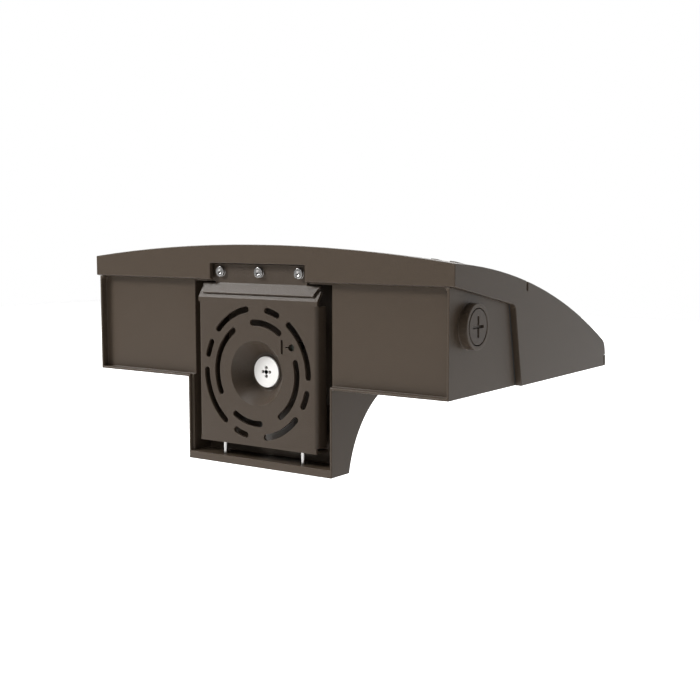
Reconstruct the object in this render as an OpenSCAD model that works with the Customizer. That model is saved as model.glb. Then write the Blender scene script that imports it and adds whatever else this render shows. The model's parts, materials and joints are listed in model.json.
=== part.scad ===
// Full cut-off wall pack light: a wall plate, a driver housing that hangs on it, a curved
// hood and a lens door underneath.
// Lengths are in millimetres. The origin is the centre of the wall plate's wall face.
// +X runs across the light, -Y runs away from the wall and +Z is up.
// Side outlines are lists of [depth, height], where depth is the distance from the wall.

/* [Wall plate] */
// Width of the wall plate
plate_width = 104; // [100:1:108]
// Distance from the plate's centre up to its top bend
plate_rise = 51; // [50:0.1:52]
// Distance from the plate's centre down to its lower edge
plate_drop = 50.7; // [49:0.1:52]
// Thickness of the plate's sheet
plate_gauge = 2; // [1.6:0.1:2.2]
// Depth of the plate's side flanges
side_flange = 10; // [8:0.5:14]
// Depth of the plate's bottom flange
floor_flange = 13; // [11:0.5:16]
// Outer radius of the bends between the plate's face and its side flanges
flange_bend_r = 2.8; // [2.4:0.1:3.4]
// Height of the notches at the plate's lower corners
relief_height = 3.7; // [3:0.1:5]
// Width of those notches
relief_width = 1; // [0.8:0.1:1.6]
// Distance from the plate's top bend down to its side flanges
flange_top_gap = 3.2; // [2.8:0.1:4]
// Length of the sloping hook strip at the top of the plate
hook_length = 8.2; // [7.8:0.1:8.4]
// Slope of the hook strip from the horizontal, in degrees
hook_slope = 55.7; // [54:0.1:57]

/* [Box screw slots] */
// Diameter of the outer ring of slots
outer_ring = 88.9; // [86:0.1:90]
// Diameter of the inner ring of slots
inner_ring = 69.85; // [68:0.05:72]
// Width of the slots
slot_width = 4.4; // [4.2:0.1:5]

/* [Wire entry] */
// Radius of the drawn dish at the plate's face
dish_mouth_r = 22.6; // [20:0.1:24]
// Radius of the dish's flat floor
dish_floor_r = 13.2; // [12.5:0.1:15]
// Depth of the dish's floor from the wall
dish_depth = 12.5; // [10:0.1:14]
// Radius of the grommet's rim
grommet_r = 10.9; // [10:0.1:11.5]
// Radius of the grommet's neck
grommet_neck_r = 8; // [7:0.1:9]
// Thickness of each of the grommet's rims and of its skin
grommet_rim = 1.6; // [1.2:0.1:2]
// Radius of the grommet's wire holes
wire_hole_r = 1.1; // [0.7:0.05:1.2]
// Distance from the grommet's middle hole to the other four
wire_hole_pitch = 3; // [2.6:0.1:3.6]

/* [Ground point] */
// Distance of the ground screw from the plate's centre line
ground_x = 30.3; // [29:0.1:31]
// Height of the ground screw above the plate's centre
ground_z = 19.4; // [18.5:0.1:20.5]
// Radius of the ground screw's thread
ground_r = 2.4; // [2:0.1:2.6]
// Height of the upright cut beside the ground screw
ground_mark_height = 9.5; // [8:0.1:11]
// Distance of that cut from the ground screw
ground_mark_x = 8; // [7:0.1:9]
// Width of the cuts beside the ground screw
ground_cut_width = 1.5; // [1:0.1:2]

/* [Hood] */
// Width across the hood's side faces
hood_width = 309.6; // [304:1:324]
// Distance from the wall to the front of the lens door's lip
hood_front = 238; // [235:0.1:245]
// Distance from the wall to the rear rim of hood and housing
rim_depth = 0.5; // [0.4:0.1:1.5]
// Thickness of the hood casting
hood_wall = 3.3; // [3:0.1:3.5]
// Height that the hood's curve from back to front reaches above the front of the lens door
nose_height = 20.6; // [19.6:0.1:22]
// Height of that curve's highest point above the plate's centre
crown_top = 88.9; // [88:0.1:92]
// Distance behind the wall of that highest point
crown_back = 31; // [29:0.1:33]
// Rise of the hood's rear edge from its ends to its middle
arch_rise = 10; // [9:0.1:10.5]
// Radius of the bend between the hood's top and its nose
nose_r = 10.2; // [9.8:0.1:12]
// Radius of the nose's gently curved front
front_r = 30; // [24:0.5:34]
// Distance by which the lens door's lip stands proud of the nose
lip_proud = 0.8; // [0.4:0.1:1]
// Distance from the plate's centre down to the hood's lower edge
hood_drop = 7; // [7:0.1:7.8]
// Height of the rear band's lower edge above the plate's centre
band_height = 63.8; // [63.5:0.1:65]
// Slope of the side band's lower edge, in degrees
band_slope = 10.6; // [10:0.1:11]
// Depth of the skirt's rear edge at the hood's lower edge
skirt_depth = 92.8; // [92.3:0.1:93.3]
// Lean of the skirt's rear edge from the vertical, in degrees
skirt_lean = 11; // [10.5:0.1:11.5]
// Radius in the corner between side band and skirt
skirt_corner_r = 6; // [4:0.5:9]
// Radius of the skirt's rounded rear edge
skirt_edge_r = 1.3; // [1:0.1:1.5]
// Half the width of the notch in the rear band
notch_half = 41.3; // [40:0.1:44]
// Height of the notch's top above the plate's centre
notch_top = 74.9; // [74.4:0.1:75.5]

/* [Hood details] */
// Depth at which the groove across the hood starts
groove_start = 98.2; // [97.8:0.1:98.8]
// Width of the groove across the hood
groove_width = 2; // [1.5:0.1:3]
// Depth of the groove across the hood
groove_depth = 6.3; // [5:0.1:7]
// Height of the low ribs on the hood's top
rib_height = 1.4; // [1:0.1:2]
// Width of the low ribs
rib_width = 5; // [4:0.1:7]
// Distance of the inner rib of each pair from the centre line
rib_x = 109.3; // [90:1:114]
// Distance between the two ribs of a pair
rib_pitch = 14.4; // [12:0.1:20]
// Depth at which the ribs start
rib_start = 52; // [40:1:56]
// Length of the ribs
rib_length = 42; // [30:1:44]

/* [Driver housing] */
// Thickness of the driver housing's walls
box_wall = 2.5; // [2.2:0.1:3]
// Distance from the plate's centre down to the driver box's underside
box_drop = 6.6; // [6.2:0.1:6.9]
// Width of the raised rim round the rear face
rear_rim = 1.6; // [1.4:0.1:2]
// Depth of the rear face's panels behind the rim
panel_recess = 5; // [4:0.1:5.2]
// Radius in the upper corners of the rear face's panels
panel_corner_r = 4.5; // [2:0.5:6]
// Height by which hood and driver box lap
lap = 7; // [5:0.5:7.5]
// Thickness of the rubber between hood and driver box
seal_gauge = 1.5; // [1:0.1:1.8]

/* [Wiring pocket] */
// Half the outer width of the wiring pocket
pocket_half = 63.1; // [61.5:0.1:67]
// Thickness of the pocket's side walls
pocket_wall = 3.2; // [2.6:0.1:4]
// Thickness of the pocket's floor
floor_gauge = 5.4; // [4.8:0.1:5.8]
// Depth of the pocket's rear edges behind the rim
pocket_recess = 2.4; // [2:0.1:3]
// Distance from the plate's centre down to the pocket's underside
pocket_drop = 65.6; // [65:0.1:68]
// Depth of the wiring space
pocket_depth = 42; // [36:1:45]
// Height of the wiring space's top above the plate's centre
pocket_top = 62; // [61.6:0.1:62.6]
// Radius of the hollow curve under the pocket's front
cove_r = 73.1; // [72:0.1:75]
// Depth at which that curve meets the driver box's underside
cove_depth = 92.9; // [92:0.1:93.5]

/* [Hanger] */
// Depth of the hanger leg's rear face
hanger_face = 4.8; // [4.6:0.1:5.2]
// Thickness of the hanger's sheet
hanger_gauge = 1.5; // [1.4:0.1:1.8]
// Length of the hanger's hook strip
hanger_hook = 8.2; // [7.8:0.1:8.3]
// Half the width of the hanger's hook strip
hanger_half = 51; // [48:0.5:52]
// Gap between the hanger's hook strip and the plate's
hook_gap = 0.2; // [0.15:0.05:0.3]
// Gap between the hanger's leg and the sides of the hood's notch
hanger_side_gap = 1.1; // [0.6:0.1:1.6]
// Size of the clipped lower corners of the hook strip
hook_clip = 2; // [1.5:0.1:2.5]
// Height of the heads of the hanger's screws
hanger_head = 1.8; // [1.6:0.1:2.6]
// Distance of the hanger's outer screws from the sides of its leg
hanger_screw_inset = 5.9; // [5.4:0.1:9]
// Height of the hanger's screws above the plate's centre
hanger_screw_z = 69; // [68.5:0.1:69.5]

/* [Lock screws] */
// Distance of the lock screws from the centre line
lock_x = 34.4; // [30:0.1:40]
// Distance of the lock screws from the wall
lock_depth = 7.5; // [7:0.1:8]
// Length of a lock screw above the pocket's floor
lock_reach = 18; // [16:0.1:20]
// Radius of the lock screws
lock_r = 1.5; // [1.3:0.1:1.7]

/* [Conduit entries] */
// Distance of the conduit entries from the wall
conduit_depth = 26; // [24:0.1:28]
// Height of the conduit entries above the plate's centre
conduit_z = 38; // [30:0.1:40]
// Radius of the boss round a conduit entry
conduit_boss_r = 14.7; // [14:0.1:16]
// Length by which the boss stands out of the driver box
conduit_proud = 6.2; // [4:0.1:7]
// Radius of the conduit thread
conduit_r = 10.4; // [9.8:0.1:10.6]
// Radius of the plug's head
plug_head_r = 11.4; // [11.1:0.1:12]
// Thickness of the plug's head
plug_head = 2.6; // [2.2:0.1:3]
// Gap round the plug's head
plug_gap = 0.6; // [0.4:0.1:0.8]
// Length of the plug's thread
plug_thread = 10; // [8:0.5:11]
// Thickness of the seal under the plug's head
plug_seal = 1; // [0.8:0.1:1.2]
// Length of the cross slot in the plug's head
cross_length = 13.5; // [10:0.1:15]
// Width of the cross slot
cross_width = 1.8; // [1.2:0.1:2.4]

/* [Lens door] */
// Gap between the door's round rear edge and the hood's bulkhead
hinge_gap = 0.5; // [0.4:0.1:2]
// Radius of the hinge pins
hinge_pin_r = 1.5; // [1.2:0.1:1.8]
// Length of a hinge pin inside the door
hinge_pin_grip = 10; // [8:0.5:14]
// Height of the seam between the hood's nose and the door
seam_height = 1.5; // [1.3:0.1:1.7]
// Thickness of the door's front lip
lip_gauge = 4; // [3.5:0.1:4.4]
// Thickness of the ledge under the lens
ledge_gauge = 3.1; // [2.8:0.1:3.4]
// Thickness of the lens
lens_gauge = 4; // [3.4:0.1:4.1]
// Half the width of the lens
lens_half = 131; // [126:1:132]
// Distance between the door's seal and the lens, at its rear and at its front
lens_margin = 10.3; // [9:0.1:12]
// Width of the ledge that carries the lens
lens_ledge = 4; // [3:0.1:5]
// Width of the door's seal
door_seal_width = 5; // [4:0.1:5.4]
// Thickness of the door's seal
door_seal = 1.8; // [1.6:0.1:2]
// Distance of the door screws from the centre line
door_screw_x = 110; // [90:1:115]
// Distance of the door screws behind the door's front lip
door_screw_inset = 5; // [4.6:0.1:5.3]

/* [Light engine] */
// Height of the mounting deck's underside above the plate's centre
deck_height = 12; // [11.8:0.1:12.5]
// Thickness of the mounting deck
deck_gauge = 3; // [2.5:0.1:3.5]
// Distance from the outermost emitters to the ends of the circuit board
board_margin = 14.3; // [13:0.1:20]
// Width of the circuit board
board_width = 73; // [72:0.5:78]
// Thickness of the circuit board
board_gauge = 1.6; // [1.2:0.1:1.8]
// Thickness of the thermal pad
pad_gauge = 0.5; // [0.3:0.1:0.7]
// Size of a light emitter
emitter_size = 3.5; // [3:0.1:4]
// Height of a light emitter
emitter_height = 0.7; // [0.5:0.1:0.8]
// Distance between emitters along the board
emitter_pitch = 24; // [22:0.5:24.5]
// Distance between rows of emitters
row_pitch = 22; // [20:0.5:24]
// Number of emitters in a row
emitters_per_row = 8; // [4:2:8]
// Number of rows of emitters
emitter_rows = 3; // [2:1:3]
// Thickness of the optic's sheet
optic_gauge = 1.7; // [1.4:0.1:2]
// Radius of a dome on the optic
dome_r = 7; // [5:0.1:8]
// Height of a dome on the optic
dome_height = 2.4; // [1.5:0.1:2.6]

/* [Driver] */
// Length of the driver
driver_length = 150; // [120:1:160]
// Width of the driver, from back to front
driver_width = 32; // [26:0.5:33]
// Height of the driver
driver_height = 38; // [28:0.5:42]
// Length of the driver's mounting feet
driver_foot = 14; // [12:0.5:18]
// Length of the surge protector
surge_length = 46; // [36:1:48]
// Width of the surge protector, from back to front
surge_width = 24; // [18:0.5:26]
// Height of the surge protector
surge_height = 22; // [16:0.5:28]

/* [Hidden] */
$fn = 48;
// Named overrun for cuts and for shapes that are trimmed later
over = 2;
// Clearance between parts that are fitted together
fit_gap = 0.3;
// Clearance between a screw or pin and the thread or hole that holds it
thread_gap = 0.05;
// Clearance between a hinge pin and the hole that turns on it
running_gap = 0.06;

// Facets along the hood's curve, round its nose, down its front, round a corner, along the hollow
// curve, round a slot's end and round a whole arch circle
crown_steps = 20;
nose_steps = 6;
front_steps = 3;
corner_steps = 6;
cove_steps = 20;
cap_steps = 8;
// Angle between two points along a slot, in degrees
slot_angle = 5;
arch_facets = 720;

// Start and end angles of the slots, in degrees from +X towards +Z
outer_slots = [[41, 79], [102.5, 114], [129, 179.5], [194, 206], [221, 259], [282.5, 294],
    [309, 359.5], [14, 26]];
inner_slots = [[-25, 54.5], [85, 124.5], [164.5, 233.5], [265, 302.5]];

// Sizes of the fasteners
m4_head_r = 3.5;
m4_head = 4;
m4_r = 2;
washer_r = 3.6;
washer_gauge = 0.5;
m3_r = 1.5;
m3_head_r = 2.75;
m3_head = 2;
m5_r = 2.5;
m5_head_r = 4.25;
m5_head = 5;
boss_wall = 2;
// Length of the ground screw's boss
ground_seat = 3 * plate_gauge;
// Height of the stands under the driver and the surge protector
stand = 4;
socket_share = 0.45;
socket_depth_share = 0.6;

// Overall places of the hood
hood_half = hood_width / 2;
hood_low = -hood_drop;
// Radius of the hood's curve from back to front
crown_r = (crown_top - nose_height) / 2
    + pow(hood_front + crown_back, 2) / (crown_top - nose_height) / 2;
// Angle from the vertical at which the nose's bend meets its front
nose_turn = 75;
nose_front = hood_front - lip_proud;
nose_depth = nose_front - front_r + (front_r - nose_r) * sin(nose_turn);
nose_z = crown_top - crown_r + sqrt(pow(crown_r - nose_r, 2) - pow(nose_depth + crown_back, 2));
nose_angle = asin((nose_depth + crown_back) / (crown_r - nose_r));
arch_r = (pow(hood_half, 2) + pow(arch_rise, 2)) / (2 * arch_rise);
arch_axis = crown_z(rim_depth, 0) - arch_r;
hood_inner = hood_half - hood_wall;

// Places of the driver box and the wiring pocket
box_half = hood_inner - fit_gap;
box_low = -box_drop;
panel_depth = rim_depth + panel_recess;
panel_top = band_height - fit_gap;
pocket_low = -pocket_drop;
pocket_floor = pocket_low + floor_gauge;
pocket_inner = pocket_half - pocket_wall;
upstand = hanger_face + hanger_gauge;
upstand_half = notch_half + pocket_wall;
upstand_top = notch_top + rim_depth;
cove_z = box_low - cove_r;
box_edge = skirt_depth - skirt_edge_r - seal_gauge;
// The hollow curve ends this far below the driver box's underside
cove_low_end = 0.2;
cove_end = cove_depth - sqrt(pow(cove_r, 2) - pow(cove_r - cove_low_end, 2));

// The hood's flanges that press on the seal
flange_width = 2.75;
bulkhead_start = groove_start - groove_width;
bulkhead_end = bulkhead_start + hood_wall;

// The hook's direction, from the plate's top bend forwards and up
hook_dir = [cos(hook_slope), sin(hook_slope)];
hook_normal = [-sin(hook_slope), cos(hook_slope)];
hook_spacing = hanger_gauge + hook_gap;
// The hanger's outer bend lies on the leg's rear face
hanger_line = [0, plate_rise] + hook_spacing * hook_normal;
hanger_bend = hanger_line + hook_dir * ((hanger_face - hanger_line.x) / hook_dir.x);
hanger_top = notch_top - fit_gap;
hanger_leg_half = notch_half - hanger_side_gap;
hanger_pitch = hanger_leg_half - hanger_screw_inset;

// The door and the lens
door_half = hood_inner - hood_wall / 6;
door_top = seam_height - fit_gap;
hinge_r = (door_top - hood_low) / 2;
hinge_z = (door_top + hood_low) / 2;
hinge_depth = bulkhead_end + hinge_gap + hinge_r;
lip_depth = hood_front - lip_gauge;
door_screw_depth = lip_depth - door_screw_inset;
lens_seal_gauge = door_top - hood_low - ledge_gauge - lens_gauge;
lens_z = hood_low + ledge_gauge + lens_seal_gauge;
seal_half = door_half - door_seal / 2 - hood_wall / 2;
seal_start = hinge_depth + hinge_r + fit_gap;
seal_end = door_screw_depth - m4_r - boss_wall - fit_gap;
seal_seat = door_top + door_seal + thread_gap;
lens_start = seal_start + door_seal_width + lens_margin;
lens_end = seal_end - door_seal_width - lens_margin;
lens_length = lens_end - lens_start;

// The light engine
board_half = (emitters_per_row - 1) / 2 * emitter_pitch + emitter_size / 2 + board_margin;
board_z = deck_height - pad_gauge - board_gauge;
emitter_z = board_z - emitter_height;
optic_gap = fit_gap / 3;
optic_z = emitter_z - optic_gap - optic_gauge;
engine_depth = lens_start + lens_length / 2;
engine_screw_x = board_half - 2 * m3_head_r;
engine_screw_y = board_width / 2 - m3_head_r - fit_gap;
connector_length = 14;
connector_width = 4.5;
connector_height = 3.2;

// Places of the screws that join hood and housing
housing_screw_places = [[box_half - 8 * m5_r, panel_depth + box_wall + 3 * m5_r],
    [box_half - 4 * m5_r, box_edge - 7 * m5_r]];
housing_split = 48;
housing_seat = 36;
housing_tip = 61;
housing_boss_r = m5_head_r + boss_wall;

// Places inside the driver box
box_floor = box_low + box_wall;
driver_start = pocket_depth + box_wall + box_wall;
driver_z = box_floor + stand;
surge_x = (pocket_half + box_half) / 2 - surge_length / 2;
surge_depth = panel_depth + 8 * box_wall;
surge_screw_x = surge_length / 2 + m3_head_r + boss_wall;

// Places of the two bushings and the grip of the door's screws
bushing_x = 45;
bushing_z = 20;
bushing_r = 5;
lead_z = (deck_height + seam_height) / 2;
lead_r = 3;
door_screw_grip = 3.5;

// Places of the lens clips' screws, in [x, depth]
clip_inset = 4 * m3_r;
clip_gauge = 0.8;
clip_places = [for (x = [-1, 1], y = [-1, 1])
    [x * lens_half / 2, y > 0 ? lens_end + m3_head_r : lens_start - m3_head_r]];

bronze = "#5a5048";
steel = "#c9ccd0";
rubber = "#242424";

// Height of the hood's curve at a depth, on the centre line, below a skin of the given inset
function crown_z(depth, inset) =
    crown_top - crown_r + sqrt(pow(crown_r - inset, 2) - pow(depth + crown_back, 2));

// Height of the wiring space's lower skin at a depth
function cove_floor(depth) = cove_z + sqrt(pow(cove_r + box_wall, 2) - pow(cove_depth - depth, 2));

// Depth of the skirt's rear edge at a height
function skirt_at(z) = skirt_depth - (z - hood_low) * tan(skirt_lean);

// Height of the side band's lower edge at a depth
function band_at(depth) = band_height - (depth - rim_depth) * tan(band_slope);

// Depth where the side band's edge, raised by rise, meets the skirt's edge, moved by shift
function corner_depth(rise, shift) =
    let(m = tan(band_slope), n = tan(skirt_lean))
    (skirt_depth + shift + (hood_low - band_height - rise - m * rim_depth) * n) / (1 - m * n);

function unit(v) = v / norm(v);
function turned(v, angle) = [v.x * cos(angle) - v.y * sin(angle), v.x * sin(angle) + v.y * cos(angle)];

// Points of the arc of radius r that rounds corner b between a and c
function corner_arc(a, b, c, r) =
    let(u = unit(a - b), v = unit(c - b), half = acos(u * v) / 2)
    let(middle = b + unit(u + v) * (r / sin(half)), first = b + u * (r / tan(half)) - middle)
    let(side = u.x * v.y - u.y * v.x > 0 ? -1 : 1, sweep = side * (180 - 2 * half))
    [for (i = [0:corner_steps]) middle + turned(first, sweep * i / corner_steps)];

// Outline with each corner rounded by the radius of the same number
function rounded(points, radii) =
    let(n = len(points))
    [for (i = [0:n - 1]) each radii[i] > 0
        ? corner_arc(points[(i + n - 1) % n], points[i], points[(i + 1) % n], radii[i])
        : [points[i]]];

// Angle along the hood's curve at a depth, for a skin of the given inset
function crown_angle(depth, inset) = asin((depth + crown_back) / (crown_r - inset));

// Points of the hood's curve between two of its angles, for a skin of the given inset
function crown_arc(inset, first, last) =
    [for (i = [0:crown_steps]) let(a = first + (last - first) * i / crown_steps)
        [(crown_r - inset) * sin(a) - crown_back,
            crown_top - crown_r + (crown_r - inset) * cos(a)]];

// Side outline of the hood, inset by the given amount, from a start depth and down to a low height
function hood_outline(inset, start, low) =
    concat(
        [[start, low]],
        crown_arc(inset, crown_angle(start, inset), nose_angle),
        [for (i = [1:nose_steps]) let(a = nose_angle + (nose_turn - nose_angle) * i / nose_steps)
            [nose_depth + (nose_r - inset) * sin(a), nose_z + (nose_r - inset) * cos(a)]],
        [for (i = [1:front_steps]) let(a = nose_turn + (90 - nose_turn) * i / front_steps)
            [nose_front - front_r + (front_r - inset) * sin(a),
                nose_z - (front_r - nose_r) * cos(nose_turn) + (front_r - inset) * cos(a)]],
        [[nose_front - inset, low]]
    );

// Points of the cove's curve from one height up to another, for a wall of the given thickness
function cove(gauge, low, high) =
    let(r = cove_r + gauge, a = asin((low - cove_z) / r), b = asin((high - cove_z) / r))
    [for (i = [0:cove_steps]) let(t = a + (b - a) * i / cove_steps) [cove_depth - r * cos(t),
        cove_z + r * sin(t)]];

// Side outline extruded across the light, centred
module across(width) {
    rotate([90, 0, -90]) linear_extrude(width, center = true) children();
}

// Rear outline of [x, height] extruded away from the wall
module away(start, length) {
    translate([0, -start, 0]) rotate([90, 0, 0]) linear_extrude(length) children();
}

// Plan outline of [x, depth] extruded upwards
module upwards(start, length) {
    translate([0, 0, start]) mirror([0, 1, 0]) linear_extrude(length) children();
}

// Block between two depths and two heights, centred across the light
module slab(half, start, end, low, high) {
    translate([-half, -end, low]) cube([2 * half, end - start, high - low]);
}

// Round bar that points away from the wall
module bar_away(x, start, z, r, length) {
    translate([x, -start, z]) rotate([90, 0, 0]) cylinder(h = length, r = r);
}

// Round bar that points upwards
module bar_up(x, depth, z, r, length) {
    translate([x, -depth, z]) cylinder(h = length, r = r);
}

// Round bar that points outwards on one side of the light, from x to x + length
module bar_out(side, x, depth, z, r, length) {
    translate([side * x, -depth, z]) rotate([0, 90 * side, 0]) cylinder(h = length, r = r);
}

// Rectangular ring in plan, given by its outer half width, depths and width of section
module plan_ring(half, start, end, width) {
    difference() {
        translate([-half, start]) square([2 * half, end - start]);
        translate([width - half, start + width]) square([2 * (half - width), end - start - 2 * width]);
    }
}

// Outline of [depth, height] turned about the arch's axis, over a flat underside
module arched(outline, half, low) {
    sector = atan((half + over) / (low - arch_axis - over));
    intersection() {
        translate([0, 0, arch_axis])
            rotate([90, 0, 0])
            rotate_extrude(angle = 2 * sector, start = 90 - sector, $fn = arch_facets)
            polygon([for (p = outline) [p.y - arch_axis, p.x]]);
        slab(half, -2 * over, hood_front + over, low, crown_top + over);
    }
}

// Solid between the hood's skin, inset by the given amount, and a flat underside
module hood_block(inset, start, half, low) {
    arched(hood_outline(inset, start, low - over), half, low);
}

// Solid under the hood's curve round the groove, inset by the given amount
module groove_core(inset) {
    end = groove_start + 4 * groove_width;
    low = hood_low - over;
    arched(concat([[0, low]],
        crown_arc(inset, crown_angle(0, inset), crown_angle(end, inset)),
        [[end, low]]), hood_half + 2 * over, low);
}

// Inner space of the skin, used to keep the hood's inner ribs inside the casting
module under_skin() {
    hood_block(hood_wall / 2, rim_depth + hood_wall / 2, hood_half - hood_wall / 2, hood_low);
}

// Everything on the housing's side of the joint with the hood, grown by lift
module under_lid(lift) {
    corner = corner_depth(lap + lift, lift - seal_gauge - skirt_edge_r);
    rise = lap + lift;
    across(2 * hood_width)
        polygon([
            [-hood_front, pocket_low - over],
            [skirt_at(pocket_low - over) + lift - seal_gauge - skirt_edge_r, pocket_low - over],
            [corner, band_at(corner) + rise],
            [rim_depth - over, band_at(rim_depth - over) + rise],
            [-hood_front, band_at(rim_depth - over) + rise]
        ]);
    slab(upstand_half + lift, rim_depth, upstand + box_wall + lift, panel_top - over,
        upstand_top + lift);
}

// Walls of the driver box and its floor, not yet cut to height
module box_shell(gauge) {
    top = crown_top;
    difference() {
        upwards(box_low, top - box_low)
            polygon([[-box_half, panel_depth], [-pocket_inner, panel_depth], [-pocket_inner, upstand],
                [pocket_inner, upstand], [pocket_inner, panel_depth], [box_half, panel_depth],
                [box_half, bulkhead_start], [-box_half, bulkhead_start]]);
        upwards(box_low + gauge, top - box_low)
            polygon([[gauge - box_half, panel_depth + gauge], [-pocket_half, panel_depth + gauge],
                [-pocket_half, upstand + gauge], [pocket_half, upstand + gauge],
                [pocket_half, panel_depth + gauge], [box_half - gauge, panel_depth + gauge],
                [box_half - gauge, bulkhead_start + over], [gauge - box_half, bulkhead_start + over]]);
    }
}

// Screw that points in +Z, with a socket head below its seat
module socket_screw(r, head_r, head, length) {
    difference() {
        translate([0, 0, -head]) cylinder(h = head, r = head_r);
        translate([0, 0, -head - over])
            cylinder(h = over + head * socket_depth_share, r = head_r * socket_share, $fn = 6);
    }
    cylinder(h = length, r = r);
}

// Slot along an arc between two angles, with round ends
module arc_slot(ring, from, to) {
    r = ring / 2;
    half = slot_width / 2;
    steps = ceil((to - from) / slot_angle);
    sweep = [for (i = [0:steps]) from + (to - from) * i / steps];
    cap = [for (i = [1:cap_steps - 1]) 180 * i / cap_steps];
    polygon(concat(
        [for (t = sweep) (r + half) * [cos(t), sin(t)]],
        [for (c = cap) r * [cos(to), sin(to)] + half * [cos(to + c), sin(to + c)]],
        [for (i = [steps:-1:0]) (r - half) * [cos(sweep[i]), sin(sweep[i])]],
        [for (c = cap) r * [cos(from), sin(from)] + half * [cos(from + 180 + c), sin(from + 180 + c)]]
    ));
}

module wall_plate() {
    face_half = plate_width / 2;
    hook_end = [0, plate_rise] + hook_length * hook_dir;
    bend = tan((90 - hook_slope) / 2) * plate_gauge;
    floor_r = grommet_neck_r + thread_gap;
    flange_low = relief_height - plate_drop;
    flange_high = plate_rise - flange_top_gap;
    bend_inner_r = flange_bend_r - plate_gauge;
    color(bronze)
        difference() {
            union() {
                // Face, hook strip and bottom flange
                difference() {
                    across(plate_width)
                        polygon([[0, -plate_drop], [0, plate_rise], hook_end,
                            hook_end - plate_gauge * hook_normal, [plate_gauge, plate_rise - bend],
                            [plate_gauge, plate_gauge - plate_drop], [floor_flange,
                                plate_gauge - plate_drop],
                            [floor_flange, -plate_drop]]);
                    // Notches at the lower corners, and room for the bends
                    for (side = [-1, 1]) {
                        translate([side * face_half, 0, -plate_drop])
                            cube([2 * relief_width, 2 * hood_front, 2 * relief_height], center = true);
                        translate([side * face_half, 0, (flange_low + flange_high) / 2])
                            cube([2 * flange_bend_r, 2 * (plate_gauge + over),
                                flange_high - flange_low], center = true);
                    }
                }
                // Face between the bends, and the side flanges
                upwards(flange_low, flange_high - flange_low)
                    polygon(rounded([
                        [-face_half, side_flange],
                        [-face_half, 0],
                        [face_half, 0],
                        [face_half, side_flange],
                        [face_half - plate_gauge, side_flange],
                        [face_half - plate_gauge, plate_gauge],
                        [plate_gauge - face_half, plate_gauge],
                        [plate_gauge - face_half, side_flange]
                    ], [0, flange_bend_r, flange_bend_r, 0, 0, bend_inner_r, bend_inner_r, 0]));
                // Drawn dish
                rotate([90, 0, 0])
                    cylinder(h = dish_depth + plate_gauge, r1 = dish_mouth_r + plate_gauge,
                        r2 = dish_floor_r + plate_gauge);
                // Boss for the ground screw
                bar_away(-ground_x, 0, ground_z, ground_r + boss_wall, ground_seat);
            }
            rotate([90, 0, 0]) translate([0, 0, -over])
                cylinder(h = dish_depth + over,
                    r1 = dish_mouth_r + over * (dish_mouth_r - dish_floor_r) / dish_depth,
                        r2 = dish_floor_r);
            bar_away(0, dish_depth - over, 0, floor_r, plate_gauge + 2 * over);
            away(-over, plate_gauge + 2 * over) {
                for (s = outer_slots) arc_slot(outer_ring, s[0], s[1]);
                for (s = inner_slots) arc_slot(inner_ring, s[0], s[1]);
            }
            bar_away(-ground_x, -over, ground_z, ground_r + thread_gap, ground_seat + 2 * over);
            // Ground mark: an upright cut and a short dash beside the screw
            away(-over, plate_gauge + 2 * over) {
                translate([ground_mark_x - ground_x, ground_z])
                    square([ground_cut_width, ground_mark_height], center = true);
                translate([-ground_x, ground_z - ground_cut_width / 4])
                    square([ground_mark_x - 2 * ground_cut_width, ground_cut_width / 2]);
            }
            for (side = [-1, 1])
                bar_up(side * lock_x, lock_depth, -plate_drop - over, lock_r + fit_gap,
                    plate_gauge + 2 * over);
        }
}

module wire_grommet() {
    face = dish_depth - grommet_rim;
    length = plate_gauge + 2 * grommet_rim;
    color("#f2eeea")
        difference() {
            union() {
                bar_away(0, face, 0, grommet_r, grommet_rim);
                bar_away(0, face, 0, grommet_neck_r, length);
                bar_away(0, dish_depth + plate_gauge, 0, grommet_neck_r + grommet_rim, grommet_rim);
            }
            // Hollow behind the skin, and the wire holes
            bar_away(0, dish_depth, 0, grommet_neck_r - grommet_rim, length);
            for (p = [[0, 0], [1, 0], [-1, 0], [0, 1], [0, -1]])
                bar_away(p.x * wire_hole_pitch, face - over, p.y * wire_hole_pitch, wire_hole_r,
                    length + 2 * over);
        }
}

module ground_screw() {
    color("#3f7d4a")
        union() {
            bar_away(-ground_x, plate_gauge, ground_z, ground_r, ground_seat);
            translate([-ground_x, -ground_seat, ground_z]) rotate([90, 0, 0])
                cylinder(h = 2 * m3_head, r = ground_r + boss_wall, $fn = 6);
        }
}

module hanger_bracket() {
    tip = hanger_bend - hanger_hook * hook_dir;
    inner = hanger_gauge * tan((90 - hook_slope) / 2);
    color(bronze)
        difference() {
            union() {
                // Leg on the housing's upstand
                slab(hanger_leg_half, hanger_face, upstand, hanger_bend.y, hanger_top);
                // Hook strip
                across(2 * hanger_half)
                    polygon([hanger_bend, tip, tip - hanger_gauge * hook_normal,
                        [upstand, hanger_bend.y - inner], [upstand, hanger_bend.y]]);
            }
            for (x = [-1:1])
                bar_away(x * hanger_pitch, hanger_face - over, hanger_screw_z, m4_r + fit_gap,
                    hanger_gauge + 2 * over);
            // Clipped lower corners
            for (side = [-1, 1])
                translate([side * hanger_half, -tip.x, tip.y]) rotate([hook_slope - 90, 0, 0])
                    rotate([0, 45, 0]) cube([2 * hook_clip, 8 * hanger_gauge, 2 * hook_clip],
                        center = true);
        }
}

module hanger_washers() {
    color(steel)
        for (x = [-1:1])
            difference() {
                bar_away(x * hanger_pitch, hanger_face - washer_gauge, hanger_screw_z, washer_r,
                    washer_gauge);
                bar_away(x * hanger_pitch, 0, hanger_screw_z, m4_r + fit_gap, hanger_face + over);
            }
}

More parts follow.
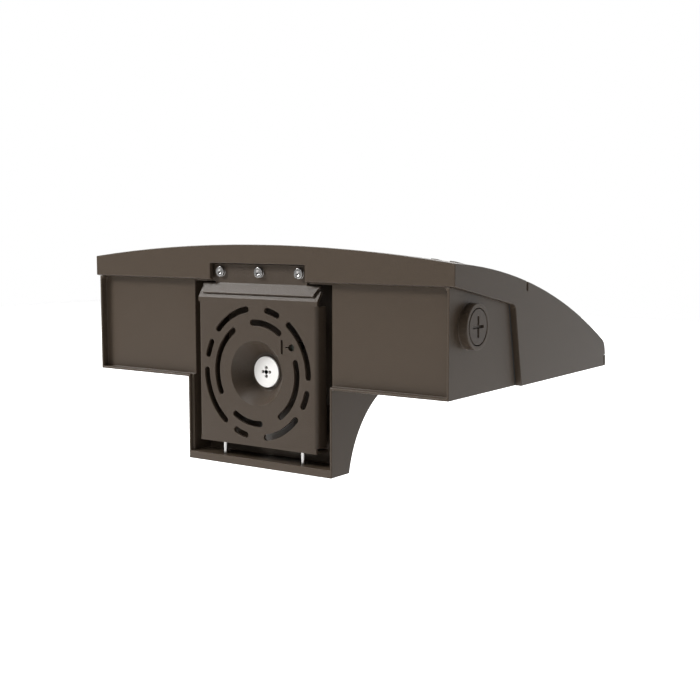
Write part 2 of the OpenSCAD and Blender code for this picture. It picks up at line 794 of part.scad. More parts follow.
module hanger_screws() {
    seat = hanger_face - washer_gauge;
    color(steel)
        for (x = [-1:1])
            translate([x * hanger_pitch, -seat, hanger_screw_z]) rotate([90, 0, 0])
                socket_screw(m4_r, m4_head_r, hanger_head,
                    washer_gauge + hanger_gauge + box_wall + m4_head);
}

// Outline of the rear face, T-shaped, in [x, height]
module rear_outline(inset) {
    translate([inset - box_half, box_low + inset])
        square([2 * (box_half - inset), panel_top - box_low - 2 * inset]);
    translate([inset - pocket_half, pocket_low + inset])
        square([2 * (pocket_half - inset), panel_top - pocket_low - 2 * inset]);
}

// Housing with its wiring space, before its threads and holes
module housing_body() {
    deep = pocket_depth + box_wall;
    difference() {
        union() {
            // Driver box, cut along the joint with the hood
            intersection() {
                box_shell(box_wall);
                under_lid(0);
            }
            // Rear rim
            difference() {
                away(rim_depth, panel_depth - rim_depth + box_wall / 2) rear_outline(0);
                // Recessed panels with rounded upper corners
                for (side = [-1, 1])
                    away(rim_depth - over, panel_depth - rim_depth + over)
                        polygon(rounded([
                            [side * (box_half - rear_rim), box_low + rear_rim],
                            [side * (box_half - rear_rim), panel_top + fit_gap],
                            [0, panel_top + fit_gap],
                            [0, box_low + rear_rim]
                        ], [0, panel_corner_r, 0, 0]));
                away(rim_depth - over, pocket_recess + over)
                    translate([rear_rim - pocket_half, pocket_floor])
                        square([2 * (pocket_half - rear_rim), band_height - pocket_floor]);
            }
            // Wiring pocket with the hollow curve under its front
            across(2 * pocket_half)
                polygon(concat(
                    [[panel_depth, box_low + box_wall], [panel_depth, pocket_low]],
                    cove(0, pocket_low, box_low - cove_low_end),
                    [[cove_end, box_low + box_wall]]));
            slab(pocket_half, panel_depth, deep, box_low, pocket_top + box_wall);
            slab(upstand_half, upstand, upstand + box_wall, pocket_top, upstand_top);
            // Bosses for the hanger's screws
            for (x = [-1:1])
                bar_away(x * hanger_pitch, upstand, hanger_screw_z, m4_r + boss_wall,
                    box_wall + m4_head + boss_wall);
            // Bosses for the conduit entries
            for (side = [-1, 1])
                bar_out(side, box_half - box_wall - plug_thread, conduit_depth, conduit_z,
                    conduit_boss_r, box_wall + plug_thread + conduit_proud);
            // Bosses for the screws that hold the hood
            for (side = [-1, 1], p = housing_screw_places)
                bar_up(side * p.x, p.y, box_low, housing_boss_r, housing_split - box_low);
            // Pads that carry the driver and the surge protector
            for (side = [-1, 1])
                bar_up(side * (driver_length + driver_foot) / 2, driver_start + driver_width / 2,
                    box_low, m4_r + 2 * boss_wall, driver_z - box_low);
            for (end = [-1, 1])
                bar_up(surge_x + surge_length / 2 + end * surge_screw_x,
                    surge_depth + surge_width / 2, box_low, m3_r + 2 * boss_wall,
                    driver_z - box_low);
        }
        // Wiring space, open towards the wall
        across(2 * pocket_inner)
            polygon(concat(
                [[rim_depth - over, pocket_floor]],
                [for (p = cove(box_wall, pocket_floor, box_low)) if (p.x < pocket_depth) p],
                [[pocket_depth, cove_floor(pocket_depth)], [pocket_depth, pocket_top],
                    [upstand, pocket_top], [upstand, band_height + over],
                    [rim_depth - over, band_height + over]]));
        // Space above the hollow curve, open to the driver box
        across(2 * pocket_inner)
            polygon(concat(
                [[deep, box_floor + over], [deep, cove_floor(deep)]],
                [for (p = cove(box_wall, pocket_floor, box_low - box_wall)) if (p.x > deep) p],
                [[cove_depth - 4 * box_wall, box_floor + over]]));
    }
}

module rear_housing() {
    color(bronze)
        difference() {
            housing_body();
            // Conduit entries
            for (side = [-1, 1]) {
                bar_out(side, box_half - box_wall - plug_thread - over, conduit_depth, conduit_z,
                    conduit_r + thread_gap, box_wall + plug_thread + conduit_proud + 2 * over);
                bar_out(side, box_half + conduit_proud - plug_head - plug_seal, conduit_depth,
                    conduit_z, plug_head_r + plug_gap, plug_head + plug_seal + over);
            }
            // Holes for the hanger's screws
            for (x = [-1:1])
                bar_away(x * hanger_pitch, upstand - over, hanger_screw_z, m4_r + thread_gap,
                    box_wall + m4_head + over);
            // Holes for the screws that hold the hood, open underneath
            for (side = [-1, 1], p = housing_screw_places) {
                bar_up(side * p.x, p.y, box_low - over, m5_head_r + fit_gap,
                    housing_seat - box_low + over);
                bar_up(side * p.x, p.y, housing_seat - over, m5_r + fit_gap, housing_split);
            }
            // Threads under the driver's feet and the surge protector's feet
            for (side = [-1, 1])
                bar_up(side * (driver_length + driver_foot) / 2, driver_start + driver_width / 2,
                    box_low + box_wall / 2, m4_r + thread_gap, box_wall + stand + over);
            for (end = [-1, 1])
                bar_up(surge_x + surge_length / 2 + end * surge_screw_x, surge_depth + surge_width / 2,
                    box_low + box_wall / 2, m3_r + thread_gap, box_wall + stand + over);
            // Threads and head seats of the lock screws
            for (side = [-1, 1]) {
                bar_up(side * lock_x, lock_depth, pocket_low - over, lock_r + thread_gap,
                    2 * over + floor_gauge);
                bar_up(side * lock_x, lock_depth, pocket_low - over, m3_head_r + fit_gap,
                    over + floor_gauge / 2);
            }
            // Hole for the bushing into the wiring space
            bar_away(-bushing_x, pocket_depth - over, bushing_z, bushing_r, box_wall + 2 * over);
        }
}

module hood() {
    flange = box_wall + flange_width;
    ledge_end = panel_depth + box_wall + fit_gap;
    raised_end = upstand + box_wall + seal_gauge;
    color(bronze)
        difference() {
            union() {
                // Skin
                difference() {
                    hood_block(0, rim_depth, hood_half, hood_low);
                    hood_block(hood_wall, rim_depth + hood_wall, hood_inner, hood_low - over);
                }
                // Ribs on the top
                for (side = [-1, 1], x = [rib_x, rib_x + rib_pitch])
                    intersection() {
                        hood_block(-rib_height, rim_depth, hood_half, hood_low);
                        translate([side * x - rib_width / 2, -rib_start - rib_length,
                            band_height - rib_length])
                            cube([rib_width, rib_length, crown_r]);
                        // Keeps the rib to its part above the skin's middle
                        rib_layer();
                    }
                intersection() {
                    under_skin();
                    union() {
                        // Ledge and flanges that press on the seal
                        difference() {
                            slab(hood_inner + over, rim_depth, bulkhead_end, hood_low, crown_top);
                            upwards(hood_low + box_wall, crown_r)
                                polygon([[flange - hood_inner, ledge_end],
                                    [-upstand_half - hood_wall, ledge_end],
                                    [-upstand_half - hood_wall, raised_end],
                                        [upstand_half + hood_wall, raised_end],
                                    [upstand_half + hood_wall, ledge_end], [hood_inner - flange,
                                        ledge_end],
                                    [hood_inner - flange, crown_r], [flange - hood_inner, crown_r]]);
                            under_lid(seal_gauge);
                        }
                        // Thick rib under the groove
                        difference() {
                            slab(hood_half, bulkhead_start, groove_start + 2 * groove_width,
                                hood_low, crown_top);
                            groove_core(groove_depth + hood_wall);
                        }
                        // Bulkhead behind the light chamber
                        slab(hood_half, bulkhead_start, bulkhead_end, hood_low,
                            deck_height + deck_gauge);
                        // Mounting deck
                        slab(hood_half, bulkhead_start, hood_front, deck_height,
                            deck_height + deck_gauge);
                        // Wall that presses on the door's seal
                        upwards(seal_seat, deck_height - seal_seat + deck_gauge / 2)
                            plan_ring(seal_half, seal_start, seal_end, door_seal_width);
                        // Bosses for the housing's screws and the door's screws
                        for (side = [-1, 1], p = housing_screw_places)
                            bar_up(side * p.x, p.y, housing_split + fit_gap, housing_boss_r, crown_top);
                        for (side = [-1, 1])
                            bar_up(side * door_screw_x, door_screw_depth, seal_seat, m4_r + boss_wall,
                                deck_height - seal_seat + deck_gauge / 2);
                        // Bosses for the optic's screws
                        for (x = [-1, 1], y = [-1, 1])
                            bar_up(x * engine_screw_x, engine_depth + y * engine_screw_y, deck_height,
                                m3_r + boss_wall, 2 * deck_gauge);
                    }
                }
            }
            // Opening over the driver box, below the side band and behind the skirt
            recess();
            // Notch over the hanger
            slab(notch_half, rim_depth - over, rim_depth + hood_wall + fit_gap,
                band_height - 2 * over, notch_top);
            // Groove across the hood
            difference() {
                slab(hood_half + over, groove_start, groove_start + groove_width,
                    deck_height + deck_gauge, crown_top + over);
                groove_core(groove_depth);
            }
            // Room for the door's front lip
            slab(hood_half + over, lip_depth - fit_gap, hood_front + over, hood_low - over,
                seam_height);
            // Holes for the screws and pins
            for (side = [-1, 1], p = housing_screw_places)
                bar_up(side * p.x, p.y, housing_split - over, m5_r + thread_gap,
                    housing_tip - housing_split + over);
            for (side = [-1, 1])
                bar_up(side * door_screw_x, door_screw_depth, seal_seat - over, m4_r + fit_gap,
                    over + door_screw_grip + fit_gap);
            for (x = [-1, 1], y = [-1, 1])
                bar_up(x * engine_screw_x, engine_depth + y * engine_screw_y, deck_height - over,
                    m3_r + thread_gap, over + 2 * deck_gauge - boss_wall);
            for (side = [-1, 1])
                bar_out(side, hood_inner - over, hinge_depth, hinge_z, hinge_pin_r + thread_gap,
                    over + hood_wall * 2 / 3);
            // Hole for the bushing of the board's leads
            bar_away(0, bulkhead_start - over, lead_z, lead_r, hood_wall + 2 * over);
        }
}

// Layer that keeps the low ribs on the outside of the skin
module rib_layer() {
    difference() {
        slab(hood_half, rim_depth, groove_start, band_height - rib_length, crown_top + over);
        hood_block(hood_wall / 2, rim_depth - over, hood_half + over, band_height - 2 * rib_length);
    }
}

// Space below the side band and behind the skirt
module recess() {
    corner = corner_depth(0, 0);
    low = hood_low - over;
    across(hood_width + 2 * over)
        polygon(rounded([[rim_depth - over, low], [skirt_at(low), low], [corner, band_at(corner)],
            [rim_depth - over, band_at(rim_depth - over)]], [0, 0, skirt_corner_r, 0]));
}

module housing_seal() {
    color(rubber)
        intersection() {
            box_shell(box_wall);
            difference() {
                under_lid(seal_gauge - thread_gap);
                under_lid(thread_gap);
            }
            hood_block(hood_wall + fit_gap, rim_depth, hood_half, hood_low);
        }
}

module housing_screws() {
    color(steel)
        for (side = [-1, 1], p = housing_screw_places)
            translate([side * p.x, -p.y, housing_seat])
                socket_screw(m5_r, m5_head_r, m5_head, housing_tip - fit_gap - housing_seat);
}

// Lock screw, threaded through the pocket's floor
module lock_screw(side) {
    seat = pocket_low + floor_gauge / 2;
    color(steel)
        translate([side * lock_x, -lock_depth, seat])
            socket_screw(lock_r, m3_head_r, floor_gauge * 2 / 5, pocket_floor + lock_reach - seat);
}

module lock_screw_left() {
    lock_screw(-1);
}

module lock_screw_right() {
    lock_screw(1);
}

// Threaded plug with a cross slot, flush with the boss
module conduit_plug(side) {
    face = box_half + conduit_proud;
    color(bronze)
        difference() {
            union() {
                bar_out(side, face - plug_head, conduit_depth, conduit_z, plug_head_r, plug_head);
                bar_out(side, face - plug_head - plug_thread, conduit_depth, conduit_z, conduit_r,
                    plug_thread);
            }
            translate([side * face, -conduit_depth, conduit_z]) {
                cube([plug_head * 4 / 3, cross_length, cross_width], center = true);
                cube([plug_head * 4 / 3, cross_width, cross_length], center = true);
            }
        }
}

module conduit_plug_left() {
    conduit_plug(-1);
}

module conduit_plug_right() {
    conduit_plug(1);
}

module plug_seal_ring(side) {
    face = box_half + conduit_proud - plug_head - plug_seal;
    color(rubber)
        difference() {
            bar_out(side, face, conduit_depth, conduit_z, plug_head_r, plug_seal);
            bar_out(side, face - over, conduit_depth, conduit_z, conduit_r + thread_gap,
                plug_seal + 2 * over);
        }
}

module plug_seal_left() {
    plug_seal_ring(-1);
}

module plug_seal_right() {
    plug_seal_ring(1);
}

// Rubber bushing in a wall: two rims and a neck with a hole, from one depth
module bushing(x, start, z, r, gauge) {
    rim = gauge / 2;
    difference() {
        union() {
            bar_away(x, start - rim, z, r + rim, rim);
            bar_away(x, start - rim, z, r - thread_gap, gauge + 2 * rim);
            bar_away(x, start + gauge, z, r + rim, rim);
        }
        bar_away(x, start - 2 * rim, z, r / 2, gauge + 4 * rim);
    }
}

module wire_bushing() {
    color(rubber) bushing(-bushing_x, pocket_depth, bushing_z, bushing_r, box_wall);
}

module lead_bushing() {
    color(rubber) bushing(0, bulkhead_start, lead_z, lead_r, hood_wall);
}

module driver() {
    foot_half = driver_length / 2 + driver_foot;
    color("#d9dadb")
        difference() {
            union() {
                slab(driver_length / 2, driver_start, driver_start + driver_width, driver_z,
                    driver_z + driver_height);
                slab(foot_half, driver_start + driver_width / 4, driver_start + driver_width * 3 / 4,
                    driver_z,
                    driver_z + box_wall);
            }
            for (side = [-1, 1])
                bar_up(side * (driver_length + driver_foot) / 2, driver_start + driver_width / 2,
                    driver_z - over, m4_r + fit_gap, box_wall + 2 * over);
        }
}

module driver_screws() {
    seat = driver_z + box_wall;
    color(steel)
        for (side = [-1, 1])
            translate([side * (driver_length + driver_foot) / 2, -driver_start - driver_width / 2,
                seat])
                mirror([0, 0, 1]) socket_screw(m4_r, m4_head_r, m3_head,
                    seat - box_low - box_wall / 2 - fit_gap);
}

module surge_protector() {
    middle = surge_x + surge_length / 2;
    tab = 2 * m3_head_r + 2 * boss_wall;
    color("#2f5f8f")
        difference() {
            union() {
                translate([surge_x, -surge_depth - surge_width, driver_z])
                    cube([surge_length, surge_width, surge_height]);
                translate([surge_x - tab, -surge_depth - surge_width / 2 - tab / 2, driver_z])
                    cube([surge_length + 2 * tab, tab, box_wall]);
            }
            for (end = [-1, 1])
                bar_up(middle + end * surge_screw_x, surge_depth + surge_width / 2, driver_z - over,
                    m3_r + fit_gap, box_wall + 2 * over);
        }
}

module surge_screws() {
    seat = driver_z + box_wall;
    middle = surge_x + surge_length / 2;
    color(steel)
        for (end = [-1, 1])
            translate([middle + end * surge_screw_x, -surge_depth - surge_width / 2, seat])
                mirror([0, 0, 1]) socket_screw(m3_r, m3_head_r, m3_head,
                    seat - box_low - box_wall / 2 - fit_gap);
}

// Plan outline of the circuit board with its screw holes
module board_outline(half, width, hole_r) {
    difference() {
        translate([-half, engine_depth - width / 2]) square([2 * half, width]);
        for (x = [-1, 1], y = [-1, 1])
            translate([x * engine_screw_x, engine_depth + y * engine_screw_y]) circle(hole_r);
    }
}

module thermal_pad() {
    color("#c9b7c4") upwards(deck_height - pad_gauge, pad_gauge)
        board_outline(board_half, board_width, m3_r + fit_gap);
}

module led_board() {
    color("#e9ebe6") upwards(board_z, board_gauge) board_outline(board_half, board_width,
        m3_r + fit_gap);
}

// Calls its children at each emitter's place
module at_emitters() {
    for (i = [0:emitters_per_row - 1], j = [0:emitter_rows - 1])
        translate([(i - (emitters_per_row - 1) / 2) * emitter_pitch,
            -engine_depth - (j - (emitter_rows - 1) / 2) * row_pitch, 0])
            children();
}

module led_emitters() {
    color("#e8d36a")
        at_emitters()
            translate([-emitter_size / 2, -emitter_size / 2, emitter_z])
                cube([emitter_size, emitter_size, emitter_height]);
}

module board_connector() {
    color("#f4f4f0")
        translate([-connector_length / 2, -engine_depth + board_width / 2 - connector_width - fit_gap,
            board_z - connector_height])
            cube([connector_length, connector_width, connector_height]);
}

module optic_panel() {
    dome_ball = (pow(dome_r, 2) + pow(dome_height, 2)) / (2 * dome_height);
    rim = 2 * m3_head_r + fit_gap;
    color("#dfe8ee", 0.6)
        difference() {
            union() {
                // Sheet, and a rim that stands on the board
                upwards(optic_z, optic_gauge)
                    translate([-board_half, engine_depth - board_width / 2])
                        square([2 * board_half, board_width]);
                upwards(optic_z, board_z - optic_z)
                    plan_ring(board_half, engine_depth - board_width / 2,
                        engine_depth + board_width / 2, rim);
                at_emitters()
                    intersection() {
                        translate([0, 0, optic_z - dome_height + dome_ball]) sphere(dome_ball);
                        translate([0, 0, optic_z + optic_gauge / 2 - dome_height])
                            cube([3 * dome_r, 3 * dome_r, 2 * dome_height], center = true);
                    }
            }
            for (x = [-1, 1], y = [-1, 1])
                bar_up(x * engine_screw_x, engine_depth + y * engine_screw_y, optic_z - over,
                    m3_r + fit_gap, board_z - optic_z + 2 * over);
            // Notch for the board's connector
            translate([0, -engine_depth + board_width / 2, board_z])
                cube([connector_length + 2 * fit_gap, 2 * (connector_width + 2 * fit_gap), 2 * rim],
                    center = true);
        }
}

module optic_screws() {
    color(steel)
        for (x = [-1, 1], y = [-1, 1])
            translate([x * engine_screw_x, -engine_depth - y * engine_screw_y, optic_z])
                socket_screw(m3_r, m3_head_r, m3_head,
                    deck_height - optic_z + 2 * deck_gauge - boss_wall - fit_gap);
}

module door_frame() {
    window_half = lens_half - lens_ledge;
    color(bronze)
        difference() {
            union() {
                // Frame with a round rear edge that turns about the hinge axis
                slab(door_half, hinge_depth, lip_depth + lip_gauge / 2, hood_low, door_top);
                bar_out(1, -door_half, hinge_depth, hinge_z, hinge_r, 2 * door_half);
                // Front lip that closes the nose
                across(hood_width)
                    polygon(rounded([[lip_depth, hood_low], [lip_depth, door_top],
                        [lip_depth + lip_gauge, door_top], [lip_depth + lip_gauge, hood_low]],
                        [0, 0, 0, lip_gauge / 4]));
            }
            // Window and the seat of the lens
            upwards(hood_low - over, door_top - hood_low + 2 * over)
                translate([-window_half, lens_start + lens_ledge])
                    square([2 * window_half, lens_length - 2 * lens_ledge]);
            upwards(hood_low + ledge_gauge, door_top - hood_low)
                translate([-lens_half - fit_gap, lens_start - fit_gap])
                    square([2 * (lens_half + fit_gap), lens_length + 2 * fit_gap]);
            // Holes for the hinge pins
            for (side = [-1, 1])
                bar_out(side, door_half - hinge_pin_grip - fit_gap, hinge_depth, hinge_z,
                    hinge_pin_r + running_gap, hinge_pin_grip + fit_gap + over);
            // Holes for the captive screws, with room for their heads
            for (side = [-1, 1]) {
                bar_up(side * door_screw_x, door_screw_depth, hood_low - over, m4_r + thread_gap,
                    door_top - hood_low + 2 * over);
                bar_up(side * door_screw_x, door_screw_depth, hood_low - over, m4_head_r + fit_gap,
                    over + m4_head - fit_gap);
            }
            // Threads for the clips' screws
            for (p = clip_places)
                bar_up(p.x, p.y, hood_low + ledge_gauge / 2, m3_r + thread_gap, door_top - hood_low);
        }
}

module lens_seal() {
    z = hood_low + ledge_gauge;
    color(rubber)
        upwards(z, lens_seal_gauge) plan_ring(lens_half, lens_start, lens_end, lens_ledge - fit_gap);
}

module lens() {
    color("#dfe9ec", 0.35)
        slab(lens_half, lens_start, lens_end, lens_z, lens_z + lens_gauge);
}

module lens_clips() {
    color(steel)
        for (p = clip_places) {
            inward = p.y > engine_depth ? -1 : 1;
            difference() {
                upwards(door_top, clip_gauge)
                    translate([p.x - clip_inset, min(p.y - inward * m3_head_r,
                        p.y + inward * clip_inset)])
                        square([2 * clip_inset, m3_head_r + clip_inset]);
                bar_up(p.x, p.y, door_top - over, m3_r + fit_gap, 2 * over);
            }
        }
}

module clip_screws() {
    color(steel)
        for (p = clip_places)
            translate([p.x, -p.y, door_top + clip_gauge])
                mirror([0, 0, 1]) socket_screw(m3_r, m3_head_r, m3_head,
                    door_top - hood_low - ledge_gauge / 2);
}

module door_seal_ring() {
    color(rubber) upwards(door_top, door_seal) plan_ring(seal_half, seal_start, seal_end,
        door_seal_width);
}

module door_screws() {
    seat = hood_low + m4_head - fit_gap;
    color(steel)
        for (side = [-1, 1])
            translate([side * door_screw_x, -door_screw_depth, seat])
                socket_screw(m4_r - thread_gap, m4_head_r, m4_head - fit_gap,
                    seal_seat + door_screw_grip - seat);
}

module hinge_pins() {
    color(steel)
        for (side = [-1, 1])
            bar_out(side, door_half - hinge_pin_grip, hinge_depth, hinge_z, hinge_pin_r,
                hinge_pin_grip + hood_inner - door_half + hood_wall / 2);
}

wall_plate();
wire_grommet();
ground_screw();
hanger_bracket();
hanger_washers();
hanger_screws();
rear_housing();
hood();
housing_seal();
housing_screws();
lock_screw_left();
lock_screw_right();
conduit_plug_left();
conduit_plug_right();
plug_seal_left();
plug_seal_right();
wire_bushing();
lead_bushing();
driver();
driver_screws();
surge_protector();
surge_screws();
thermal_pad();
led_board();
led_emitters();
board_connector();
optic_panel();
optic_screws();
door_frame();
lens_seal();
lens();
lens_clips();
clip_screws();
door_seal_ring();
door_screws();
hinge_pins();
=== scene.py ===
"""Studio scene of a full cut-off wall pack light, seen from behind as it is packed."""
import json
import math

import bmesh
import bpy
from mathutils import Matrix, Vector


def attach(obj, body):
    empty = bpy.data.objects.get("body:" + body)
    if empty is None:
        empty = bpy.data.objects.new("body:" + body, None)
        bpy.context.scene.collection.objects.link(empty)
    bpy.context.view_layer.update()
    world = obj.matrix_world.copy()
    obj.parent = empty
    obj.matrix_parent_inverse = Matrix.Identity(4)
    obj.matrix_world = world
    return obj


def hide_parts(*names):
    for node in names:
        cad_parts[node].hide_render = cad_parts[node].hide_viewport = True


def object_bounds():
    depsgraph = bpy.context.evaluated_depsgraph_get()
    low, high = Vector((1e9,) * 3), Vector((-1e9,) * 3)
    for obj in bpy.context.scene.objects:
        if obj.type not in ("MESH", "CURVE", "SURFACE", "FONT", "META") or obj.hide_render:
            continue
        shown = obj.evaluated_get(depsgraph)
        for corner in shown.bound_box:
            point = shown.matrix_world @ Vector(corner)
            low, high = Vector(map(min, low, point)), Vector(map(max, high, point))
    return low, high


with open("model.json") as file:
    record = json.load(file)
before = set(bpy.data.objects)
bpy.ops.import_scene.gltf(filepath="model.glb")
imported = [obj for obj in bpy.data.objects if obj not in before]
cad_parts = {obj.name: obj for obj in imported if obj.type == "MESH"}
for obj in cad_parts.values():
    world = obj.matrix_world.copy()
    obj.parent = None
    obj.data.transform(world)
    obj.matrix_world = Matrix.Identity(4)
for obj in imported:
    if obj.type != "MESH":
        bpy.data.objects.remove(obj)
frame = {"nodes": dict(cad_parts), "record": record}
cad_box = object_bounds()
record = frame["record"]
MM = 0.001

# Camera of the photograph, in metres, and its lens and sensor width in millimetres
CAMERA_AT = Vector((-0.5015, 0.6106, 0.1002))
CAMERA_FORWARD = Vector((0.5666, -0.8172, -0.1060))
CAMERA_RIGHT = Vector((-0.8218, -0.5698, 0.0005))
CAMERA_LENS = 59.63
SENSOR_WIDTH = 36.0
CLIP_NEAR = 0.01
CLIP_FAR = 50.0

# Edge rounding of the pieces
CAST_EDGE = 0.5 * MM
SHEET_EDGE = 0.45 * MM
PLATE_EDGE = 0.2 * MM
SMALL_EDGE = 0.22 * MM
EDGE_SEGMENTS = 2
BEVEL_ANGLE = math.radians(32)
FLAT_ANGLE = math.radians(0.15)
WELD = 0.002 * MM

# Powder coat: reflection level, and the size and depth of its texture
COAT_SPECULAR = 0.22
COAT_SCALE = 1500.0
COAT_DEPTH = 0.12 * MM
SHEET_COAT_SCALE = 1400.0
SHEET_COAT_DEPTH = 0.2 * MM
GRAIN_DETAIL = 2.0
GLASS_IOR = 1.5

# Colours, linear
BRONZE = (0.049, 0.0355, 0.0245)
BRONZE_SHEET = (0.043, 0.031, 0.0215)
BRONZE_PLUG = (0.043, 0.031, 0.022)
BRIGHT = (0.55, 0.54, 0.53)
WHITE_RUBBER = (0.74, 0.725, 0.70)
BLACK_RUBBER = (0.012, 0.012, 0.012)
# Ground screw's green zinc, darkened almost to black as painted shade, so its tip reads dark at the bottom
# of its hole
GREEN_ZINC_DARKENED_AS_SHADE = (0.018, 0.020, 0.014)
CASE_GREY = (0.55, 0.56, 0.58)
SURGE_BLUE = (0.03, 0.10, 0.24)
PAD_GREY = (0.50, 0.42, 0.47)
BOARD_WHITE = (0.78, 0.80, 0.77)
PHOSPHOR = (0.85, 0.58, 0.10)
NYLON = (0.80, 0.80, 0.77)
OPTIC = (0.97, 0.98, 0.98)
GLASS = (0.98, 0.99, 0.99)
FLOOR = (0.90, 0.90, 0.90)
WHITE = (1.0, 1.0, 1.0, 1.0)
ROOM_GREY = (0.14, 0.14, 0.14, 1.0)

# Stage: floor, its glow, and where the white wall fades into the dim room, from front to back
FLOOR_DROP = 0.55
FLOOR_REACH = 8.0
FLOOR_ROUGHNESS = 0.9
FLOOR_GLOW = 0.35
WALL_ENDS_SHARE = 0.25
ROOM_STARTS_SHARE = 0.42

# Lights: name, place, point that it faces, width in metres and power in watts
FLOOR_Z = cad_box[0][2] - FLOOR_DROP
MIDDLE = (0.0, -0.1, 0.0)
LIGHTS = [
    ("backdrop_light", (3.0, -4.4, 3.2), (3.0, -4.4, FLOOR_Z), 5.0, 340),
    ("key_light", (2.2, 1.7, 2.0), MIDDLE, 0.9, 152),
    ("top_light", (0.1, 0.25, 1.9), MIDDLE, 0.9, 24),
    ("fill_light", (-1.2, 2.0, 0.3), MIDDLE, 1.0, 3),
]

# Nodes whose edges are rounded more or less than those of the small pieces
EDGES = {
    "hood": CAST_EDGE,
    "rear_housing": CAST_EDGE,
    "door_frame": CAST_EDGE,
    "wall_plate": PLATE_EDGE,
    "hanger_bracket": SHEET_EDGE,
    "driver": SHEET_EDGE,
    "surge_protector": SHEET_EDGE,
    "conduit_plug_left": SHEET_EDGE,
    "conduit_plug_right": SHEET_EDGE,
    "wire_grommet": SHEET_EDGE,
}

# Nodes that keep their own mesh and only get a material
BARE = {"led_emitters", "thermal_pad", "led_board", "optic_panel", "lens", "lens_seal", "door_seal_ring"}


def body_name(node):
    """Name of the rigid body that carries a node."""
    for name, nodes in record["behaviour"]["bodies"].items():
        if node in nodes:
            return name
    raise KeyError(node)


def slot_name(node):
    """Name of a node's material slot in the record."""
    for part in record["subparts"]:
        if part["node"] == node:
            return part["material_slot"]
    raise KeyError(node)


def new_material(name, colour, roughness, metallic=0.0, **inputs):
    """Principled material with plain values. Returns the material and its shader node."""
    material = bpy.data.materials.new(name)
    material.use_nodes = True
    shader = material.node_tree.nodes["Principled BSDF"]
    shader.inputs["Base Color"].default_value = (*colour, 1.0)
    shader.inputs["Roughness"].default_value = roughness
    shader.inputs["Metallic"].default_value = metallic
    for key, value in inputs.items():
        shader.inputs[key.replace("_", " ")].default_value = value
    return material, shader


def add_grain(material, shader, scale, strength, distance):
    """Fine surface texture from noise in the object's own space."""
    nodes = material.node_tree.nodes
    links = material.node_tree.links
    place = nodes.new("ShaderNodeTexCoord")
    noise = nodes.new("ShaderNodeTexNoise")
    bump = nodes.new("ShaderNodeBump")
    noise.inputs["Scale"].default_value = scale
    noise.inputs["Detail"].default_value = GRAIN_DETAIL
    bump.inputs["Strength"].default_value = strength
    bump.inputs["Distance"].default_value = distance
    links.new(place.outputs["Object"], noise.inputs["Vector"])
    links.new(noise.outputs["Fac"], bump.inputs["Height"])
    links.new(bump.outputs["Normal"], shader.inputs["Normal"])


def powder_coat(name, colour, roughness, strength, scale=COAT_SCALE, distance=COAT_DEPTH):
    """Painted metal with the fine texture of powder coat."""
    material, shader = new_material(name, colour, roughness, Specular_IOR_Level=COAT_SPECULAR)
    add_grain(material, shader, scale, strength, distance)
    return material


def plain(name, colour, roughness, metallic=0.0, **inputs):
    """Smooth material of one colour."""
    return new_material(name, colour, roughness, metallic, **inputs)[0]


def clear(name, colour, roughness):
    """Clear glass or plastic."""
    return plain(name, colour, roughness, IOR=GLASS_IOR, Transmission_Weight=1.0)


def make_materials():
    """One material per slot of the record."""
    return {
        "bronze_casting": powder_coat("bronze_casting", BRONZE, 0.38, 0.55),
        "bronze_paint": powder_coat(
            "bronze_paint", BRONZE_SHEET, 0.40, 1.0, SHEET_COAT_SCALE, SHEET_COAT_DEPTH),
        "bronze_plug": powder_coat("bronze_plug", BRONZE_PLUG, 0.34, 0.25),
        "white_rubber": plain("white_rubber", WHITE_RUBBER, 0.55),
        "black_rubber": plain("black_rubber", BLACK_RUBBER, 0.70),
        "bright_steel": plain("bright_steel", BRIGHT, 0.20, 1.0),
        # The ground screw's colour holds painted shade for its recessed tip
        "green_zinc": plain("green_zinc", GREEN_ZINC_DARKENED_AS_SHADE, 0.35, 0.6),
        "driver_case": plain("driver_case", CASE_GREY, 0.38, 0.9),
        "surge_case": plain("surge_case", SURGE_BLUE, 0.45),
        "thermal_pad": plain("thermal_pad", PAD_GREY, 0.80),
        "board_white": plain("board_white", BOARD_WHITE, 0.45),
        "emitter_yellow": plain("emitter_yellow", PHOSPHOR, 0.25),
        "connector_white": plain("connector_white", NYLON, 0.50),
        "optic_clear": clear("optic_clear", OPTIC, 0.06),
        "lens_glass": clear("lens_glass", GLASS, 0.02),
    }


def clean_mesh(name, source):
    """Welded copy of a node's mesh, with flat faces joined again."""
    mesh = bpy.data.meshes.new(name)
    old = source.data
    mesh.from_pydata([tuple(v.co) for v in old.vertices], [], [tuple(p.vertices) for p in old.polygons])
    work = bmesh.new()
    work.from_mesh(mesh)
    bmesh.ops.remove_doubles(work, verts=work.verts, dist=WELD)
    bmesh.ops.dissolve_limit(work, angle_limit=FLAT_ANGLE, verts=work.verts, edges=work.edges)
    bmesh.ops.recalc_face_normals(work, faces=work.faces)
    for face in work.faces:
        face.smooth = True
    work.to_mesh(mesh)
    work.free()
    return mesh


def dressed(node, width):
    """Piece with rounded edges that stands for a CAD node."""
    piece = bpy.data.objects.new(f"{node}_finish", clean_mesh(f"{node}_finish", frame["nodes"][node]))
    bpy.context.scene.collection.objects.link(piece)
    bevel = piece.modifiers.new("rounded_edges", "BEVEL")
    bevel.width = width
    bevel.segments = EDGE_SEGMENTS
    bevel.limit_method = "ANGLE"
    bevel.angle_limit = BEVEL_ANGLE
    bevel.harden_normals = True
    bevel.use_clamp_overlap = False
    bevel.miter_outer = "MITER_ARC"
    piece.data.materials.append(materials[slot_name(node)])
    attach(piece, body_name(node))
    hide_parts(node)


def painted(node):
    """Material of a CAD node that keeps its own mesh."""
    slots = frame["nodes"][node].data.materials
    slots.clear()
    slots.append(materials[slot_name(node)])


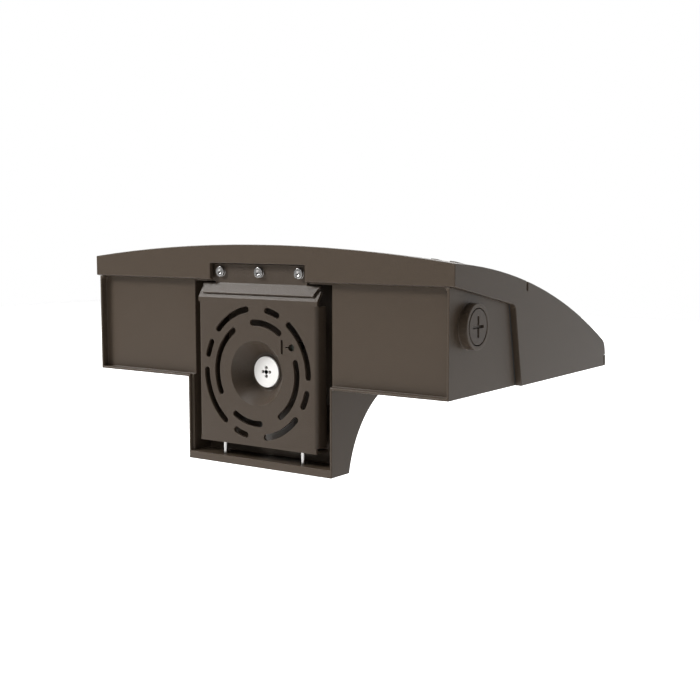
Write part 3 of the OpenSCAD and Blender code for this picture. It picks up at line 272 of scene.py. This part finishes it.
def add_area(name, at, towards, size, watts):
    """Square area light that faces a point."""
    data = bpy.data.lights.new(name, "AREA")
    data.shape = "SQUARE"
    data.size = size
    data.energy = watts
    light = bpy.data.objects.new(name, data)
    bpy.context.scene.collection.objects.link(light)
    light.location = at
    light.rotation_euler = (Vector(towards) - Vector(at)).to_track_quat("-Z", "Y").to_euler()


def add_camera():
    """Camera at the photograph's place and viewing angle."""
    data = bpy.data.cameras.new("photo_camera")
    data.sensor_width = SENSOR_WIDTH
    data.lens = CAMERA_LENS
    data.clip_start = CLIP_NEAR
    data.clip_end = CLIP_FAR
    camera = bpy.data.objects.new("photo_camera", data)
    bpy.context.scene.collection.objects.link(camera)
    forward = CAMERA_FORWARD.normalized()
    up = CAMERA_RIGHT.cross(forward).normalized()
    right = forward.cross(up)
    turn = Matrix((right, up, -forward)).transposed()
    camera.matrix_world = Matrix.Translation(CAMERA_AT) @ turn.to_4x4()
    bpy.context.scene.camera = camera


def add_floor():
    """Pale floor under the light."""
    mesh = bpy.data.meshes.new("floor")
    corners = [(-1, -1), (1, -1), (1, 1), (-1, 1)]
    mesh.from_pydata([(x * FLOOR_REACH, y * FLOOR_REACH, FLOOR_Z) for x, y in corners], [], [(0, 1, 2, 3)])
    floor = bpy.data.objects.new("floor", mesh)
    bpy.context.scene.collection.objects.link(floor)
    floor.data.materials.append(
        plain("floor_paint", FLOOR, FLOOR_ROUGHNESS, Emission_Color=WHITE, Emission_Strength=FLOOR_GLOW))


def add_surroundings():
    """White studio wall in front of the light and a dim room behind it."""
    world = bpy.data.worlds.new("surroundings")
    world.use_nodes = True
    nodes = world.node_tree.nodes
    links = world.node_tree.links
    place = nodes.new("ShaderNodeTexCoord")
    split = nodes.new("ShaderNodeSeparateXYZ")
    ramp = nodes.new("ShaderNodeValToRGB")
    spread = nodes.new("ShaderNodeMapRange")
    spread.inputs["From Min"].default_value = -1.0
    spread.inputs["From Max"].default_value = 1.0
    links.new(place.outputs["Generated"], split.inputs["Vector"])
    links.new(split.outputs["Y"], spread.inputs["Value"])
    links.new(spread.outputs["Result"], ramp.inputs["Fac"])
    wall, room = ramp.color_ramp.elements
    wall.position = WALL_ENDS_SHARE
    wall.color = WHITE
    room.position = ROOM_STARTS_SHARE
    room.color = ROOM_GREY
    links.new(ramp.outputs["Color"], nodes["Background"].inputs["Color"])
    bpy.context.scene.world = world


bpy.context.scene.view_settings.view_transform = "Standard"
materials = make_materials()
add_camera()
add_floor()
add_surroundings()
for light in LIGHTS:
    add_area(*light)

for node in frame["nodes"]:
    if node in BARE:
        painted(node)
    else:
        dressed(node, EDGES.get(node, SMALL_EDGE))
